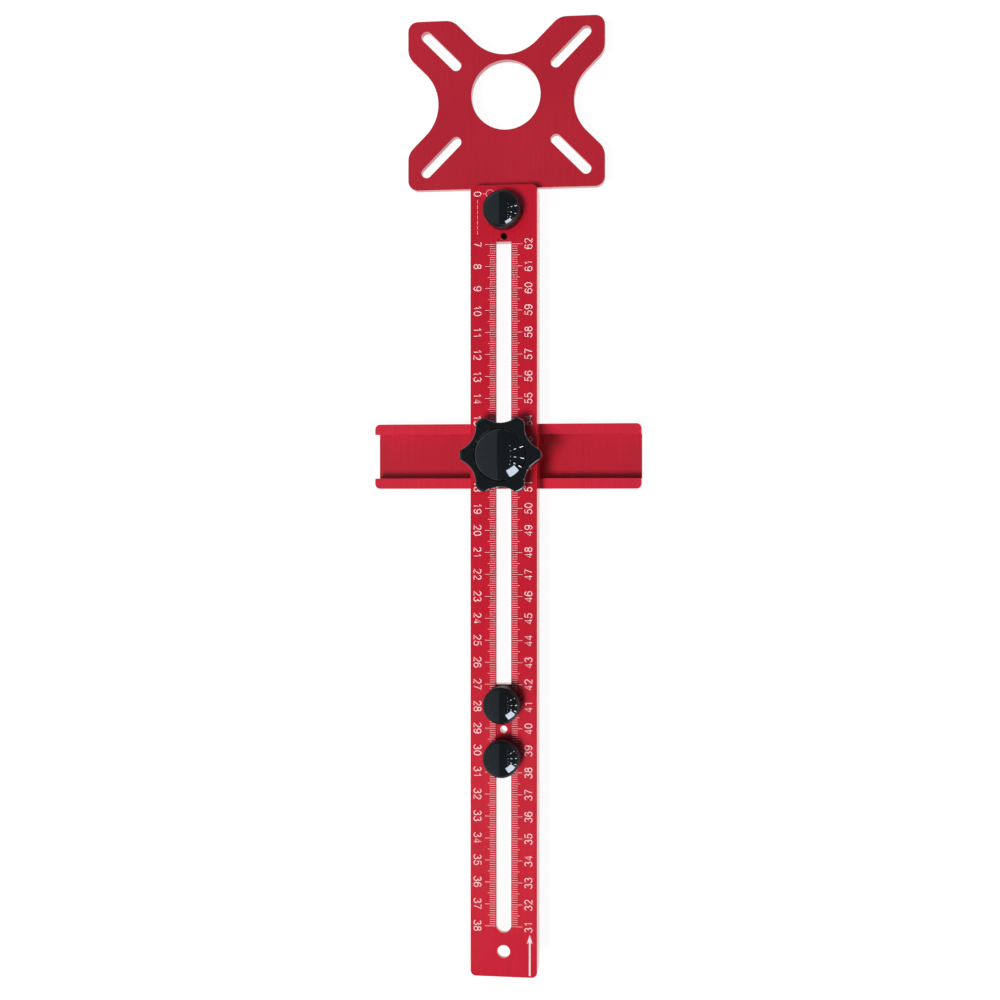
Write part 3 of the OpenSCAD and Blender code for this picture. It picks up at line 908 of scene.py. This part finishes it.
class JIG_OT_stage(bpy.types.Operator):
    """Sets up the camera, the white floor and the studio light"""

    bl_idname = "jig.stage"
    bl_label = "Stage"

    def camera(self, stage):
        """Camera that looks down on the jig with the bar upright in the picture."""
        place, aim = Vector(stage.camera), Vector(stage.aim)
        bpy.ops.object.camera_add(location=place)
        camera = bpy.context.object
        back = (place - aim).normalized()
        right = Vector((0, 1, 0)).cross(back).normalized()
        camera.matrix_world = Matrix.Translation(place) @ Matrix(
            (right, back.cross(right), back)
        ).transposed().to_4x4()
        camera.data.lens = stage.lens
        bpy.context.scene.camera = camera

    def floor(self, stage):
        """White to the camera and in reflections, with a little of the lit floor left for shadow."""
        bpy.ops.mesh.primitive_plane_add(size=stage.floor_width, location=(0, 0, CAD_BOX[0].z))
        floor = bpy.context.object
        floor.name = "studio_floor"
        material, tree = new_material("White studio floor")
        paths = add_node(tree, "ShaderNodeLightPath").outputs
        seen = paths["Is Camera Ray"]
        for kind in ("Is Glossy Ray", "Is Transmission Ray"):
            seen = combined(tree, "MAXIMUM", seen, paths[kind])
        share = combined(tree, "MULTIPLY", seen, stage.glow_share)
        paint = add_node(
            tree, "ShaderNodeBsdfDiffuse", {"Color": rgba(scaled(stage.floor, stage.floor_grey))}
        ).outputs["BSDF"]
        glow = add_node(
            tree, "ShaderNodeEmission", {"Color": rgba(stage.floor), "Strength": stage.floor_glow}
        ).outputs["Emission"]
        add_node(tree, "ShaderNodeOutputMaterial", {"Surface": mixed(tree, share, paint, glow)})
        floor.data.materials.append(material)

    def room(self, stage):
        """Bright wall on the left and unlit room on the right, with a white backdrop for the camera."""
        world = bpy.data.worlds.new("Studio room")
        bpy.context.scene.world = world
        world.use_nodes = True
        tree = world.node_tree
        tree.nodes.clear()
        direction = add_node(tree, "ShaderNodeTexCoord").outputs["Generated"]
        axes = add_node(tree, "ShaderNodeSeparateXYZ", {"Vector": direction}).outputs
        left = spread(tree, axes["X"], *stage.wall_edge, 1.0, 0.0)
        dim, wall, backdrop = [
            add_node(
                tree, "ShaderNodeBackground", {"Color": rgba(colour), "Strength": strength}
            ).outputs["Background"]
            for colour, strength in (
                (stage.dark_side, stage.room), (stage.bright_side, stage.room), (stage.floor, 1.0)
            )
        ]
        room = mixed(tree, left, dim, wall)
        seen = add_node(tree, "ShaderNodeLightPath").outputs["Is Camera Ray"]
        add_node(tree, "ShaderNodeOutputWorld", {"Surface": mixed(tree, seen, room, backdrop)})

    def lamp(self, stage, name, way, distance, size, power, diffuse=True, glossy=True):
        """Area lamp in some direction, which faces the jig and shows in the chosen kinds of ray."""
        target = Vector(stage.lit_point)
        place = target + distance * Vector(way).normalized()
        bpy.ops.object.light_add(type="AREA", location=place)
        lamp = bpy.context.object
        lamp.name = name
        lamp.visible_diffuse = diffuse
        lamp.visible_glossy = glossy
        lamp.data.shape = "RECTANGLE"
        lamp.data.size, lamp.data.size_y = size
        lamp.data.energy = power
        lamp.rotation_euler = (target - place).to_track_quat("-Z", "Y").to_euler()
        return lamp

    def execute(self, context):
        stage = context.scene.jig_stage
        self.camera(stage)
        self.floor(stage)
        self.room(stage)
        window = self.lamp(
            stage, "window_light", stage.window_way, stage.window_far, stage.window_size, stage.window,
            diffuse=False,
        )
        window.data.color = stage.window_tint
        self.lamp(
            stage, "key_light", stage.key_way, stage.key_far, stage.key_size, stage.key, glossy=False
        )
        for name, size, share, reach, rows in TUBES:
            for i, row in enumerate(rows):
                self.lamp(
                    stage, f"{name}_{i + 1}", (reach, row, 1), stage.tube_far, size, share * stage.tubes,
                    diffuse=False,
                )
        context.scene.view_settings.view_transform = "Standard"
        return {"FINISHED"}


class JIG_PT_panel(bpy.types.Panel):
    """Lists the steps and settings of the jig"""

    bl_idname = "JIG_PT_panel"
    bl_label = "Circle Cutting Jig"
    bl_space_type = "VIEW_3D"
    bl_region_type = "UI"
    bl_category = "Circle Jig"

    def draw(self, context):
        layout = self.layout
        for operator in OPERATORS:
            layout.operator(operator.bl_idname)
        for group in GROUPS:
            box = layout.box()
            settings = getattr(context.scene, group)
            for key in settings.bl_rna.properties.keys():
                if key not in {"rna_type", "name"}:
                    box.prop(settings, key)


GROUPS = {
    "jig_finish": JigFinish,
    "jig_thread": JigThread,
    "jig_scale": JigScale,
    "jig_stage": JigStage,
}
OPERATORS = (
    JIG_OT_finishes,
    JIG_OT_red_parts,
    JIG_OT_small_knobs,
    JIG_OT_star_knob,
    JIG_OT_steel_parts,
    JIG_OT_threads,
    JIG_OT_scale,
    JIG_OT_stage,
)
CLASSES = (*GROUPS.values(), *OPERATORS, JIG_PT_panel)


def register():
    for cls in CLASSES:
        bpy.utils.register_class(cls)
    for key, group in GROUPS.items():
        setattr(bpy.types.Scene, key, PointerProperty(type=group))


def unregister():
    for key in GROUPS:
        delattr(bpy.types.Scene, key)
    for cls in reversed(CLASSES):
        bpy.utils.unregister_class(cls)


def main():
    """Runs every step in order."""
    register()
    bpy.ops.jig.finishes()
    bpy.ops.jig.red_parts()
    bpy.ops.jig.small_knobs()
    bpy.ops.jig.star_knob()
    bpy.ops.jig.steel_parts()
    bpy.ops.jig.threads()
    bpy.ops.jig.scale()
    bpy.ops.jig.stage()


if __name__ == "__main__":
    main()
